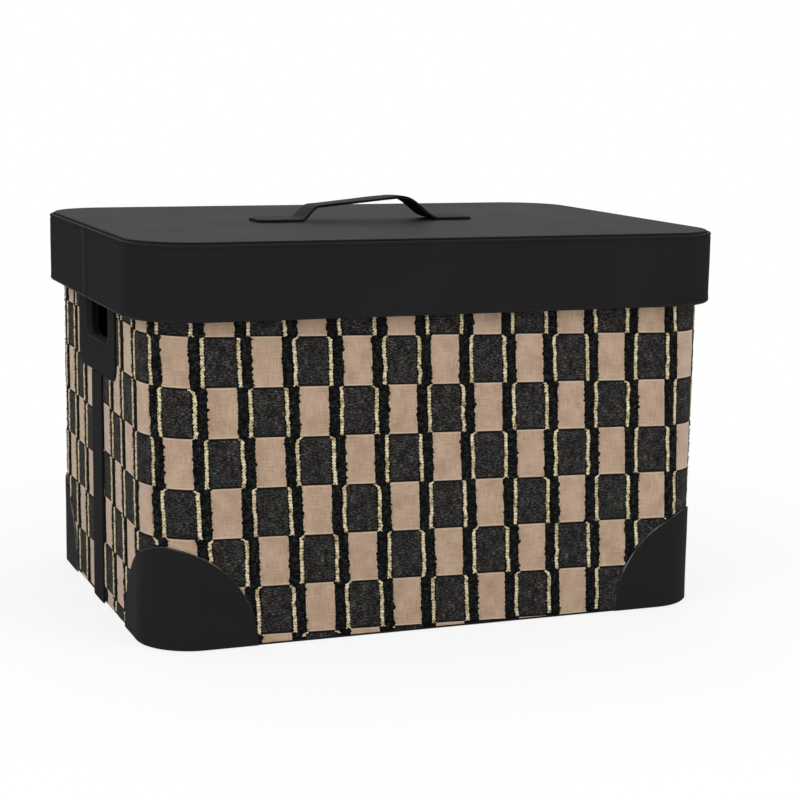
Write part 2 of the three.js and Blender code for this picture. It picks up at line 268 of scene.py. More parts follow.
class Nodes:
    # The nodes of a material or of the world

    def __init__(self, tree):
        self.tree = tree
        tree.nodes.clear()

    def fill(self, place, value):
        if isinstance(value, Socket):
            self.tree.links.new(value.output, place)
        elif isinstance(value, tuple) and len(value) == 3 and place.type == "RGBA":
            place.default_value = (*value, 1)
        else:
            place.default_value = value

    def node(self, kind, settings=None, sockets=None, out=0):
        node = self.tree.nodes.new("ShaderNode" + kind)
        for name, value in (settings or {}).items():
            if name == "stops":
                ramp = node.color_ramp
                while len(ramp.elements) < len(value):
                    ramp.elements.new(1)
                for element, (place, colour) in zip(ramp.elements, value):
                    element.position = place
                    element.color = (*colour, 1)
            else:
                setattr(node, name, value)
        for name, value in (sockets or {}).items():
            self.fill(node.inputs[name], value)
        return Socket(self, node.outputs[out]) if node.outputs else None

    def ramp(self, share, *stops):
        # A colour from a number: stops of (place, colour)
        return self.node("ValToRGB", {"stops": stops}, {0: share})

    def blend(self, share, first, second):
        # From the first colour to the second
        return self.node("Mix", {"data_type": "RGBA"}, {0: share, 6: first, 7: second}, 2)

    def times(self, first, second):
        # Two colours or sets of coordinates, multiplied
        return self.node("VectorMath", {"operation": "MULTIPLY"}, {0: first, 1: second})

    def noise(self, place, scale, detail=2, rough=.5):
        sockets = {"Vector": place, "Scale": scale, "Detail": detail, "Roughness": rough}
        return self.node("TexNoise", None, sockets)

    def streaks(self, place, factors, detail=2, rough=.5):
        # Noise with its own scale along each axis
        return self.noise(self.times(place, factors), 1, detail, rough)

    def where(self):
        # Metres in the frame
        return self.node("TexCoord", None, None, "Object")

    def seen(self):
        # 1 for what the camera, a gloss or a glass sees, 0 for light that falls on things
        camera = self.node("LightPath", None, None, "Is Camera Ray")
        return camera.most(camera.also("Is Glossy Ray")).most(camera.also("Is Transmission Ray"))


class Finish(Nodes):
    # A material with one Principled shader

    def __init__(self, name, **settings):
        self.material = bpy.data.materials.new(name)
        self.material.use_nodes = True
        super().__init__(self.material.node_tree)
        self.surface = self.node("BsdfPrincipled")
        self.set(**settings)

    def set(self, **settings):
        # Sockets of the shader, by name with underscores for spaces
        for name, value in settings.items():
            self.fill(self.surface.output.node.inputs[name.replace("_", " ")], value)

    def bump(self, height, depth):
        # A height from 0 to 1 over a depth in metres
        relief = self.node("Bump", None, {"Height": height, "Distance": depth, "Strength": 1})
        self.set(Normal=relief)
        return relief

    def done(self, surface=None):
        self.node("OutputMaterial", None, {"Surface": surface or self.surface})
        return self.material


def linear(red, green, blue):
    # A colour of the screen, 0 to 255, as the shader takes it
    shares = (red / 255, green / 255, blue / 255)
    return tuple(v / 12.92 if v < .04045 else ((v + .055) / 1.055) ** 2.4 for v in shares)


# Finishes

leatherLook = {
    "shade": .0138,
    "clouds": (.85, 1.2),  # its darkest and palest parts, over its shade
    "blue": .02,  # and how much more blue both have
    "roughness": .8,
    "specular": .011,
    "cloudScale": 16,
    "fineScale": 420,
    "pebbles": 1150,  # grain cells to a metre
    "relief": .05 * mm,
}
smoothDressing = {"roughness": .6, "specular": .046}  # on the lid's top


def leatherFinish(name, **changes):
    look = {**leatherLook, **changes}
    finish = Finish(name, Specular_IOR_Level=look["specular"])
    where = finish.where()
    cloudy = finish.noise(where, look["cloudScale"], 3)
    fine = finish.noise(where, look["fineScale"])
    pebble = finish.node("TexVoronoi", None, {"Vector": where, "Scale": look["pebbles"]})
    shade = look["shade"]
    dark, pale = [(shade * part, shade * part, shade * (part + look["blue"])) for part in look["clouds"]]
    uneven = (fine - .5) * .1 + (cloudy - .5) * .12
    finish.set(Base_Color=finish.blend(cloudy, dark, pale), Roughness=look["roughness"] + uneven)
    finish.bump(pebble * .6 + fine * .5, look["relief"])
    return finish.done()


# Two noises to each, as (scale, detail, rough). The first one also makes the relief, and
# has this share of the colour, which runs through the stops.
fibreLooks = {
    "leatherCutEdgeAndHighlight": {  # inked, a little paler than the leather's face, its paler streaks partly painted highlight along the edge
        "first": (900, 3),
        "second": (55, 2),
        "share": .4,
        "stops": [(.38, linear(30, 30, 29)), (.5, linear(62, 60, 57)), (.64, linear(128, 124, 116))],
        "specular": .1,
        "roughness": .6,
        "uneven": .2,
        "relief": .1 * mm,
    },
    "blackTufts": {
        "first": (720, 3, .7),
        "second": (300, 2),
        "share": .65,
        "stops": [
            (.38, linear(3, 3, 4)), (.48, linear(12, 11, 12)),
            (.56, linear(30, 31, 30)), (.66, linear(58, 64, 62)),
        ],
        "specular": .04,
        "roughness": .85,
        "uneven": 0,
        "relief": .6 * mm,
    },
    "creamYarn": {
        "first": (1700, 2),
        "second": (460, 3, .6),
        "share": .25,
        "stops": [
            (.36, linear(96, 84, 52)), (.45, linear(178, 162, 122)),
            (.55, linear(216, 204, 170)), (.7, linear(240, 233, 210)),
        ],
        "specular": .06,
        "roughness": .9,
        "uneven": 0,
        "relief": .25 * mm,
    },
    "fibreBoard": {
        "first": (420, 4, .7),
        "second": (1500, 2),
        "share": .7,
        "stops": [(.3, linear(118, 92, 62)), (.55, linear(156, 128, 92)), (.75, linear(184, 158, 120))],
        "specular": .25,
        "roughness": .75,
        "uneven": .15,
        "relief": .15 * mm,
    },
}


def fibreFinish(name):
    look = fibreLooks[name]
    finish = Finish(name, Specular_IOR_Level=look["specular"], Roughness=look["roughness"])
    where = finish.where()
    first = finish.noise(where, *look["first"])
    second = finish.noise(where, *look["second"])
    share = first * look["share"] + second * (1 - look["share"])
    finish.set(Base_Color=finish.ramp(share, *look["stops"]))
    if look["uneven"]:
        finish.set(Roughness=look["roughness"] + first * look["uneven"])
    finish.bump(first, look["relief"])
    return finish.done()


clothLook = {
    "tan": linear(188, 160, 135),
    "tanDark": linear(160, 133, 111),
    "tanPale": linear(208, 183, 160),
    "charcoal": linear(33, 31, 31),
    "charcoalPale": linear(69, 66, 63),
    "fleck": linear(124, 121, 115),
    "black": linear(11, 11, 12),
    "threadsAcross": 58,  # in one cell
    "threadsUp": 62,
    "tuftShare": .33,  # from a cell's middle to the black ground under the tufts and yarn, of its width: the tufts' own black and painted shade
    "creamShare": .345,  # from a dark cell's middle to the painted shade beside and under its cream yarn
    "seamShare": .455,  # from a cell's middle to the painted shade line at the top and foot of a dark cell, and the painted highlight line at those of a tan cell
    "roughness": .93,
    "specular": .05,
    "fuzz": .4,
    "fuzzRoughness": .4,
    "relief": .5 * mm,
}


def clothFinish():
    look = clothLook
    finish = Finish("checkedCloth", Specular_IOR_Level=look["specular"])
    place = finish.node("UVMap", {"uv_map": "weave"})
    across = finish.node("SeparateXYZ", None, {0: place})
    up = across.also("Y")
    dark = (across.floor() + up.floor()) % 2
    side = abs(across.share() - .5)
    level = abs(up.share() - .5)
    ragged = finish.noise(place, 34, 3, .7) - .5
    # Black near every column edge: the tufts' own black yarn, and painted shade beneath the tufts and the
    # cream yarn
    tuftsAndShade = side + ragged * .07 > look["tuftShare"]

    # The plain weave of the tan cells, with slubs both ways
    warp = (across * (look["threadsAcross"] * math.pi)).wave()
    weft = (up * (look["threadsUp"] * math.pi)).wave()
    over = warp * weft > 0
    weave = over * abs(warp) + (1 - over) * abs(weft)
    slubUp = finish.streaks(place, (58, 3.2, 1))
    slubAcross = finish.streaks(place, (3.2, 62, 1))
    fine = finish.streaks(place, (40, 44, 1))
    broad = finish.noise(place, 2.2)
    tanShare = slubUp * .45 + slubAcross * .45 + fine * .25 + (broad - .5) * .4 + weave * .12 - .18
    # Painted highlight: the tan pales along the top and foot of each tan cell
    tanEndHighlight = level + ragged * .03 > look["seamShare"] + .015
    fringe = side + ragged * .09 > look["tuftShare"] - .03
    tan = finish.ramp(
        tanShare + tanEndHighlight * .18 + fringe * .13,
        (.3, look["tanDark"]),
        (.5, look["tan"]),
        (.72, look["tanPale"]),
    )

    # Looped charcoal yarn, flecked along the weft, with a trace of other hues
    fleck = finish.streaks(place, (13, 40, 1), 3, .6)
    loop = finish.streaks(place, (30, 58, 1))
    cloudy = finish.noise(place, 5)
    hues = finish.ramp(
        finish.streaks(place, (10, 22, 1)) * .7 + (broad - .5) * .7 + .15,
        (.3, (.72, 1.02, .98)),
        (.42, (.92, 1.04, .98)),
        (.52, (1.02, 1.0, 1.0)),
        (.62, (1.16, 1.0, 1.12)),
        (.75, (.94, 1.1, .86)),
    )
    charcoal = finish.ramp(
        fleck * .7 + loop * .3 + (cloudy - .5) * .22,
        (.38, look["black"]),
        (.49, look["charcoal"]),
        (.6, look["charcoalPale"]),
        (.7, look["fleck"]),
    )
    charcoal = finish.times(charcoal, hues)
    # Painted shade: the charcoal turns black in the seams at the top and foot of each dark cell, and beside
    # and under the cream yarn
    seamShade = (level + ragged * .05 > look["seamShare"]) * .75
    beside = (side + ragged * .04 > look["creamShare"]) * .8
    charcoal = finish.blend(seamShade.most(beside), charcoal, look["black"])
    ground = finish.blend(dark, tan, charcoal)
    ground = finish.blend(tuftsAndShade, ground, look["black"])
    finish.set(Base_Color=ground, Roughness=look["roughness"] - dark * .05)
    plain = weave * .3 + slubUp * .2 + slubAcross * .2
    looped = fleck * .7 + loop * .6
    relief = finish.bump((1 - dark) * plain + dark * looped, look["relief"])

    # The tan cells have a fuzz, which pales them where they are seen at a slant
    linen = finish.node("BsdfPrincipled", None, {
        "Base Color": tan,
        "Roughness": look["roughness"],
        "Specular IOR Level": look["specular"],
        "Sheen Weight": look["fuzz"],
        "Sheen Roughness": look["fuzzRoughness"],
        "Normal": relief,
    })
    return finish.done(finish.node("MixShader", None, {
        0: (1 - dark) * (1 - tuftsAndShade),
        1: finish.surface,
        2: linen,
    }))


def liningFinish():
    finish = Finish("liningCloth", Specular_IOR_Level=.1)
    where = finish.where()
    fine, broad = 1500, 60
    threads = [
        finish.streaks(where, factors)
        for factors in ((fine, fine, broad), (broad, broad, fine), (fine, broad, broad))
    ]
    cloudy = finish.noise(where, 9)
    share = (threads[0] + threads[1] + threads[2]) / 3 + (cloudy - .5) * .2
    colour = finish.ramp(share, (.35, linear(30, 29, 30)), (.65, linear(64, 61, 62)))
    finish.set(Base_Color=colour, Roughness=.88 + cloudy * .1)
    finish.bump(share, .3 * mm)
    return finish.done()


def speckledFinish(name, first, second, scale, depth):
    # Card, felt, thread, and ink with painted shade: one noise for colour, roughness and relief
    finish = Finish(name, Specular_IOR_Level=.2)
    speck = finish.noise(finish.where(), scale, 4, .7)
    finish.set(Base_Color=finish.blend(speck, first, second), Roughness=.85 + speck * .1)
    finish.bump(speck, depth)
    return finish.done()


leather = leatherFinish("blackLeather")
smoothLeather = leatherFinish("smoothBlackLeather", **smoothDressing)
handleLeather = leatherFinish("handleLeather", roughness=.62, specular=.037)
guardLeather = leatherFinish("guardLeather", shade=.0128, specular=.045)
lapLeather = leatherFinish("lapLeather", shade=.0185)
# Paler shade: painted light on the hand holes' edging, whose jamb lies in the wall's shade
paintedLightEdging = leatherFinish("holeEdgingPaintedLight", shade=.03)
cutEdgeAndHighlight = fibreFinish("leatherCutEdgeAndHighlight")
# Black for inked cut edges with painted shade along them, and as painted shade in the lid's groove and deep
# in the hand holes
inkAndShadeEdge = speckledFinish("inkAndShadeEdge", linear(4, 4, 4), linear(15, 15, 15), 900, .05 * mm)
checkedCloth = clothFinish()
blackTufts = fibreFinish("blackTufts")
creamYarn = fibreFinish("creamYarn")
lining = liningFinish()
board = fibreFinish("fibreBoard")
card = speckledFinish("greyCard", linear(120, 112, 96), linear(158, 150, 132), 700, .08 * mm)
baseSheet = speckledFinish("baseSheet", linear(14, 14, 15), linear(38, 38, 39), 800, .2 * mm)
thread = speckledFinish("sewingThread", linear(14, 14, 15), linear(34, 34, 36), 1600, .1 * mm)
print("finishes made")


# Boards, card and base cover keep their solids

def finishBoards():
    looks = {"board": board, "card": card, "base_sheet": baseSheet}
    slots = {part["node"]: part["material_slot"] for part in frame["record"]["subparts"]}
    for name, node in frame["nodes"].items():
        if slots.get(name) in looks:
            node.data.materials.clear()
            node.data.materials.append(looks[slots[name]])


# Where leather trim lies over the cloth

trim = {
    "guardReach": 76 * mm,
    "guardTip": 5 * mm,
    "guardLeather": 1.3 * mm,
    "guardLift": .3 * mm,
    "guardEdge": .65 * mm,
    "guardWave": .12 * mm,
    "guardWaveReach": 17 * mm,
    "guardSteps": (40, 14),  # along half its edge, and up
    "guardAside": 2 * mm,  # the one at the front left was glued this far along the front
}
edging = {
    "lip": 5 * mm,
    "leather": 1.2 * mm,
    "round": 11 * mm,
    "roll": .45 * mm,
    "turn": 1.2 * mm,  # where it turns back inside the box
    "turnSoft": .35 * mm,
    "paintedEdge": 4.4 * mm,  # past this depth it is black, as painted shade deep in the hand hole
}
patchLow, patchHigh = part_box("end_patch_left")
strapLow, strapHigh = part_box("end_strap_left")
edgeLow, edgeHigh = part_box("hand_hole_edge_left")
holeReach = edgeHigh.y - edging["lip"] - edging["leather"]  # half its width
holeRise = (edgeHigh.z - edgeLow.z) / 2 - edging["lip"] - edging["leather"]
holeMiddle = (edgeHigh.z + edgeLow.z) / 2
guardShift = cornerRadius - bend / 2
guardCorner = straightX + bend / 2


def fromCorner(s):
    turned = np.mod(s, girth / 2)
    return np.minimum(np.abs(turned - guardCorner), np.abs(turned - girth / 2 + guardCorner))


def underTrim(s, z):
    # How far a place on the cloth lies inside the edge of the leather over it
    end = np.abs(np.mod(s, girth / 2) - girth / 4)  # from the middle of the nearer end
    strap = strapHigh.y - end
    patch = np.minimum(patchHigh.y - end, z - patchLow.z)
    guard = trim["guardReach"] - np.hypot(fromCorner(s) + guardShift, z)
    return np.maximum(np.maximum(strap, patch), guard)


def doubled(grid):
    # The first and last row once more, for edges that turn in
    return np.concatenate([grid[:1], grid, grid[-1:]])


def wallSheet(s, z, out, tucked):
    # A sheet on the walls, with its head and foot tucked in
    s, z, out = [doubled(grid) for grid in np.broadcast_arrays(s, z, out)]
    out[[0, -1]] = tucked
    return onWall(s, z, out)


def byHole(points, margin):
    # Which points of the walls lie in a hand hole, or this near to one
    y, z = points[..., 1], points[..., 2]
    return ((np.abs(y) < holeReach + margin) & (np.abs(z - holeMiddle) < holeRise + margin)).ravel()


# Cloth: two halves, joined under the straps at the ends. Columns lean and rows fall a
# little, as the cloth was pulled round the box.

check = {
    "column": 33.6 * mm,
    "row": 35.83 * mm,
    "middle": 112 * mm,  # the height from which the columns lean
    "grid": 1.75 * mm,
    "loopSides": (.36, .44),  # the loops of a dark cell end between these shares of it
    "loopEnds": (.455, .5),
    "darkRise": .35 * mm,
    "lump": .22 * mm,
    "lumps": [(3.2 * mm, 1.9 * mm, 1), (6 * mm, 4 * mm, 1)],
    "slack": (11 * mm, 11 * mm, .06 * mm),
    "sunk": .1 * mm,
    "tucked": 1.3 * mm,
    "holeMargin": 3 * mm,  # the cloth ends this far round the hand holes, under the patches
    "columns": (-14, 15),  # enough to reach round a half
    "rows": (-2, 9),
}
halves = {
    "front": {
        "turn": 0,
        "columnAt": 20.1 * mm,
        "rowAt": 4.3 * mm,
        "lean": .04,
        "fall": .0265,
        # Where the cloth was pulled along, as it went round a corner: how far, where, reach
        "slips": [(5.5 * mm, -248 * mm, 28 * mm), (9.5 * mm, 229 * mm, 25 * mm)],
        "seed": 11,
    },
    "back": {
        "turn": girth / 2,
        "columnAt": 47 * mm,
        "rowAt": 7.7 * mm,
        "lean": .015,
        "fall": .012,
        "slips": [],
        "seed": 51,
    },
}


def slip(half, s):
    return sum(far * np.exp(-((s - place) / reach) ** 2) for far, place, reach in half["slips"])


def weaveAt(half, s, z):
    # Columns and rows of the check at a place, s from the middle of the half. Where the
    # cloth slipped, a few rounds find the place before the slip.
    even = s
    for _ in range(9):
        even = s - slip(half, even)
    column = (even + half["lean"] * (z - check["middle"]) - half["columnAt"]) / check["column"]
    row = (z + half["fall"] * even - half["rowAt"]) / check["row"]
    return column, row


def placeOf(half, column, row):
    # The place of a column and row of the check
    across = column * check["column"] + half["columnAt"] + half["lean"] * check["middle"]
    up = row * check["row"] + half["rowAt"]
    even = (across - half["lean"] * up) / (1 - half["lean"] * half["fall"])
    return even + slip(half, even), up - half["fall"] * even


def addCloth(name, half):
    wide = round(girth / 2 / check["grid"])
    high = round((clothHigh.z - clothLow.z) / check["grid"])
    s = np.linspace(-girth / 4, girth / 4, wide + 1)[None, :]
    z = np.linspace(clothLow.z, clothHigh.z, high + 1)[:, None]
    column, row = weaveAt(half, s, z)
    dark = (np.floor(column) + np.floor(row)) % 2
    loops = dark * (1 - ease(*check["loopSides"], np.abs(column - np.floor(column) - .5)))
    loops = loops * (1 - ease(*check["loopEnds"], np.abs(row - np.floor(row) - .5)))
    lumps = lumpy(half["seed"], s, z, *check["lumps"])
    out = loops * (check["darkRise"] + lumps * check["lump"]) - check["sunk"]
    out = out + lumpy(half["seed"] + 2, s, z, check["slack"])
    points = wallSheet(s + half["turn"], z, out, -check["tucked"])
    faces = gridFaces(*points.shape[:2])
    faces = faces[~byHole(points, check["holeMargin"])[faces].all(axis=1)]
    weave = doubled(np.dstack([column, row]))
    return addPiece(name, points, [faces], [checkedCloth], "box", ["outer_cloth"], weave)


# Black tufts and cream yarn along every column edge of the check. In each row the cream
# lies beside the dark cell and the tufts beside the tan one.

tuft = {
    "tanEdge": 5.9 * mm,  # from the column edge, into the tan cell
    "darkEdge": 1.7 * mm,
    "height": 1.05 * mm,
    "ragged": (1.5 * mm, 2.5 * mm),  # where the tan cell lies left of the tufts, and right
    "darkRagged": .5 * mm,
    "slack": .6 * mm,
    "ripples": (17, 34),  # to a row, along the edge by the tan cell
    "darkRipples": 22,
    "bends": 5,
    "lump": .42 * mm,
    "lumps": [(1.15 * mm, 1.15 * mm, 1), (2.4 * mm, 2.4 * mm, .6)],
    "sunk": .25 * mm,
    "overlap": .012,  # of a row, into the next
    "steps": 64,
    "across": 9,
    "fibres": 34,
    "fibreRadius": .3 * mm,
    "fibreReach": (1.0 * mm, 2.6 * mm),
    "fibreRoot": (.4 * mm, 2.2 * mm),  # back from the tufts' edge
    "fibreRise": (.5 * mm, 1.2 * mm),
    "fibreDroop": (.3, 1.3),  # how high its tip is, over its root
    "fibreWidths": (.7, 1.3),
    "fibreClear": 1 * mm,  # of the trim
    "beyond": 8 * mm,  # past the end of a half
    "margin": 1.2 * mm,
    "pressed": .5 * mm,  # down under the trim
}
yarn = {
    "middle": 3.45 * mm,  # from the column edge, into the dark cell
    "plyRadius": .86 * mm,
    "plySpread": .78 * mm,
    "plyDepth": .312 * mm,
    "rise": .4 * mm,
    "flat": .6,  # its height over its width
    "turn": 4.4 * mm,
    "startTurn": 3,  # radians at most, by chance
    "wander": .5 * mm,
    "bends": 5,  # to a row
    "jitter": .4 * mm,
    "jitters": 21,
    "lumps": [(30, .3), (60, .15)],  # to a row, and of its thickness
    "hook": (1.84 * mm, 1.38 * mm),  # on average, and how far it varies
    "tip": .99,  # of the row
    "hookFrom": .93,
    "fray": (.78 * mm, .65 * mm),
    "frayUpTo": .05,  # of its row
    "thin": .45,  # at its ends, of its thickness
    "thinUpTo": .02,
    "thinFrom": .965,
    "pressed": 1.2 * mm,
    "steps": 50,
    "sides": 5,
}
seat = {
    "rim": .5 * mm,  # under the binding
    "foot": .9 * mm,  # under the base cover
    "fade": (-1.3 * mm, -.2 * mm),
}


def edgesOf(half):
    # Every column edge in every row that lies on this half, and the side of its dark cell
    columns, rows = np.arange(*check["columns"]), np.arange(*check["rows"])
    column, row = [grid.ravel() for grid in np.meshgrid(columns, rows)]
    s, z = placeOf(half, column, row + .5)
    reach = check["row"] * .6
    keep = (z > clothLow.z - reach) & (z < clothHigh.z + reach)
    keep &= np.abs(s) < girth / 4 + tuft["beyond"]
    clear = np.zeros(len(s), bool)
    for share in np.linspace(0, 1, 9):
        spot, level = placeOf(half, column, row + share)
        clear |= underTrim(spot + half["turn"], level) < tuft["margin"] + tuft["tanEdge"]
    column, row = column[keep & clear], row[keep & clear]
    return column, row, np.where((column + row) % 2 == 1, 1, -1)


def seated(half, s, z, out, sink):
    # Presses places down where trim, binding or base lies over them, and says how deep
    cover = underTrim(s + half["turn"], z)
    cover = np.maximum(cover, z - (clothHigh.z - seat["rim"]))
    cover = np.maximum(cover, clothLow.z + seat["foot"] - z)
    cover = np.maximum(cover, np.abs(s) - girth / 4)
    free = 1 - ease(*seat["fade"], cover)
    return out * free - sink * (1 - free), cover


def addTufts(name, half):
    column, row, side = edgesOf(half)
    seed = half["seed"]
    share = np.linspace(-tuft["overlap"], 1 + tuft["overlap"], tuft["steps"])[None, :, None]
    t = np.linspace(0, 1, tuft["across"])
    key = (column * 7.3 + row * 13.7)[:, None, None]  # each edge has a line of its own
    turned = side[:, None, None] > 0
    coarse, small = tuft["ripples"]
    fine = wander(seed + 3, key, share * coarse) * .5 + wander(seed + 4, key, share * small) * .5
    ragged = np.where(turned, *tuft["ragged"])
    tanEdge = tuft["tanEdge"] + ragged * fine + tuft["slack"] * wander(seed + 5, key, share * tuft["bends"])
    dark = wander(seed + 6, key + 3.1, share * tuft["darkRipples"])
    darkEdge = tuft["darkEdge"] + tuft["darkRagged"] * dark
    left = np.where(turned, -tanEdge, -darkEdge)
    right = np.where(turned, darkEdge, tanEdge)
    s, z = placeOf(half, column[:, None, None], row[:, None, None] + share)
    s = s + left + (right - left) * t
    crown = np.sqrt(np.clip(1 - np.abs(2 * t - 1) ** 3, 0, 1))
    out = crown * (tuft["height"] + tuft["lump"] * lumpy(seed + 7, s, z, *tuft["lumps"])) - tuft["sunk"]
    out, cover = seated(half, s, z, out, tuft["pressed"])
    points = onWall(s + half["turn"], z, out)
    faces = blocks(gridFaces(tuft["steps"], tuft["across"]), len(column), tuft["steps"] * tuft["across"])
    faces = bared(faces.reshape(-1, 4), cover)

    # Short fibres that stick out over the tan cell, each a three-sided spike
    rng = np.random.default_rng(seed)
    shape = (len(column), tuft["fibres"])
    level = rng.uniform(0, 1, shape)
    toTan = -side[:, None]
    root = toTan * (tuft["tanEdge"] - rng.uniform(*tuft["fibreRoot"], shape))
    reach = rng.uniform(*tuft["fibreReach"], shape)
    aim = rng.uniform(-1, 1, shape)
    s, z = placeOf(half, column[:, None], row[:, None] + level)
    s = s + root
    rise, cover = seated(half, s, z, rng.uniform(*tuft["fibreRise"], shape), tuft["pressed"])
    tipS = s + toTan * reach * np.cos(aim)
    tipZ = z + reach * np.sin(aim)
    droop = rng.uniform(*tuft["fibreDroop"], shape)
    tipRise, tipCover = seated(half, tipS, tipZ, rise * droop, tuft["pressed"])
    keep = np.maximum(cover, tipCover) < -tuft["fibreClear"]
    s, z, rise, tipS, tipZ, tipRise = [part[keep] for part in (s, z, rise, tipS, tipZ, tipRise)]
    width = tuft["fibreRadius"] * rng.uniform(*tuft["fibreWidths"], len(s))
    spikes = []
    for turn in np.radians((90, 210, 330)):
        level = z + width * math.cos(turn)
        spikes.append(onWall(s + half["turn"], level, rise + width * math.sin(turn)))
    spikes.append(onWall(tipS + half["turn"], tipZ, tipRise))
    trios = blocks(np.array([(0, 1, 3), (1, 2, 3), (2, 0, 3)]), len(s), 4) + points.size // 3
    points = np.concatenate([points.reshape(-1, 3), np.stack(spikes, 1).reshape(-1, 3)])
    return addPiece(name, points, [faces, trios.reshape(-1, 3)], [blackTufts], "box")


def bared(faces, cover):
    # Without the faces that lie deep under the trim
    return faces[~(cover.ravel() > tuft["margin"])[faces].any(axis=1)]


def addYarns(name, half):
    column, row, side = edgesOf(half)
    seed = half["seed"] + 20
    share = np.linspace(0, yarn["tip"], yarn["steps"])[None, :, None]
    key = (column * 5.7 + row * 11.3)[:, None, None]
    ply = np.array([0, 1])[:, None, None, None]
    turn = 2 * math.pi * share * check["row"] / yarn["turn"] + ply * math.pi
    turn = turn + wander(seed, key, 0) * yarn["startTurn"]
    middle = yarn["middle"] + yarn["wander"] * wander(seed + 1, key, share * yarn["bends"])
    middle = middle + yarn["jitter"] * wander(seed + 6, key, share * yarn["jitters"])
    hook, chance = yarn["hook"]
    hooked = hook + chance * wander(seed + 2, key, 1)
    middle = middle + hooked * ease(yarn["hookFrom"], yarn["tip"], share)
    fray, chance = yarn["fray"]
    frayed = fray + chance * wander(seed + 3, key, 2)
    spread = yarn["plySpread"] + frayed * (1 - ease(0, yarn["frayUpTo"], share))
    (coarse, thick), (fine, thin) = yarn["lumps"]
    lump = 1 + thick * wander(seed + 4, key + ply * 3, share * coarse)
    lump = lump + thin * wander(seed + 5, key, share * fine)
    full = ease(0, yarn["thinUpTo"], share) * (1 - ease(yarn["thinFrom"], yarn["tip"], share))
    radius = yarn["plyRadius"] * lump * (yarn["thin"] + (1 - yarn["thin"]) * full)
    ring = 2 * math.pi * np.arange(yarn["sides"]) / yarn["sides"]
    offset = middle + spread * np.cos(turn) + radius * np.cos(ring)
    out = yarn["rise"] + yarn["plyDepth"] * np.sin(turn) + radius * yarn["flat"] * np.sin(ring)
    s, z = placeOf(half, column[:, None, None], row[:, None, None] + share)
    s = s + side[:, None, None] * offset
    out, cover = seated(half, s, z, out, yarn["pressed"])
    points = onWall(s + half["turn"], z, out)
    rings = gridFaces(yarn["steps"], yarn["sides"], joinColumns=True)
    faces = blocks(rings, 2 * len(column), yarn["steps"] * yarn["sides"])
    turned = np.tile(side, 2) < 0
    faces[turned] = faces[turned][:, :, ::-1]
    return addPiece(name, points, [bared(faces.reshape(-1, 4), cover)], [creamYarn], "box")


def buildCloth():
    for side, half in halves.items():
        skin = addCloth("cloth_" + side, half)
        tufts = addTufts("black_tufts_" + side, half)
        yarns = addYarns("cream_yarn_" + side, half)
    print("cloth laid")


# Corner guards: leather bent round the corner, its edge a quarter circle on each face

def addGuard(name, corner, seed):
    reach = trim["guardReach"]
    steps, stepsUp = trim["guardSteps"]
    angles = np.linspace(math.asin(trim["guardTip"] / reach), math.acos(guardShift / reach), steps)
    along = reach * np.cos(angles) - guardShift
    along = np.concatenate([-along, along[-2::-1]])
    top = reach * np.sin(np.concatenate([angles, angles[-2::-1]]))
    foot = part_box("corner_guard_" + name)[0].z
    inner = trim["guardLift"]
    outer = inner + trim["guardLeather"]
    edge = trim["guardEdge"]
    rows = [(inner, foot + 0 * top), (outer - edge, foot + 0 * top)]
    shares = np.linspace(0, 1, stepsUp)
    rows += [(outer, foot + edge + (top - foot - 2 * edge) * share) for share in shares]
    rows += [(outer - .35 * edge, top - .3 * edge), (outer - edge, top), (inner, top)]
    out = np.array([np.full(len(top), row[0]) for row in rows])
    height = np.array([row[1] for row in rows])
    s = corner + along
    waves = (trim["guardWaveReach"], trim["guardWaveReach"], trim["guardWave"])
    out[2:-3] += lumpy(seed, s, height, waves)[2:-3]
    points = onWall(s, height, out)
    faces = gridFaces(*points.shape[:2], joinRows=True)
    end = np.arange(len(rows))[None] * len(top)
    # The guard's top edge and ends are paler, partly as painted highlight where the edge faces up
    paintedEdge = np.isin(rowsOf(faces, len(top) - 1), (len(rows) - 4, len(rows) - 3, len(rows) - 2))
    addPiece("guard_" + name, points, [faces, end[:, ::-1], end + len(top) - 1], [guardLeather, cutEdgeAndHighlight],
             "box", ["corner_guard_" + name], marks=[*paintedEdge, True, True])


def buildGuards():
    places = {
        "front_left": trim["guardAside"] - guardCorner,
        "front_right": guardCorner,
        "back_right": girth / 2 - guardCorner,
        "back_left": girth / 2 + guardCorner,
    }
    for seed, (name, corner) in enumerate(places.items()):
        addGuard(name, corner, 80 + seed)
    print("corner guards bent")


# Patch, hole edging and strap on each end. They are drawn as seen from outside, across
# to the right and up, then stood against the end.

patch = {
    "round": 12 * mm,
    "edge": .45 * mm,
    "gap": .3 * mm,
    "rays": 168,
    "wave": (15 * mm, 15 * mm, .08 * mm),
}
strap = {
    "edge": .5 * mm,
    "crown": .12 * mm,
    "sway": (30 * mm, 1, .25 * mm),
    "wave": (25 * mm, 20 * mm, .1 * mm),
    "steps": 46,
}


def onEnd(side, across, out, up):
    # side is -1 on the left end and 1 on the right end
    x = side * (clothHigh.x + out)
    y = side * across
    return np.stack(np.broadcast_arrays(x, y, up), -1)


def starRadius(outline, angles):
    # Distance from the middle to an outline along each angle
    rays = np.stack([np.cos(angles), np.sin(angles)], -1)
    step = np.roll(outline, -1, 0) - outline
    cross = rays[:, None, 0] * step[None, :, 1] - rays[:, None, 1] * step[None, :, 0]
    cross = np.where(np.abs(cross) < 1e-12, 1e-12, cross)
    far = (outline[None, :, 0] * step[None, :, 1] - outline[None, :, 1] * step[None, :, 0]) / cross
    part = (outline[None, :, 0] * rays[:, None, 1] - outline[None, :, 1] * rays[:, None, 0]) / cross
    hit = (far > 0) & (part >= -1e-6) & (part <= 1 + 1e-6)
    return np.where(hit, far, np.inf).min(1)


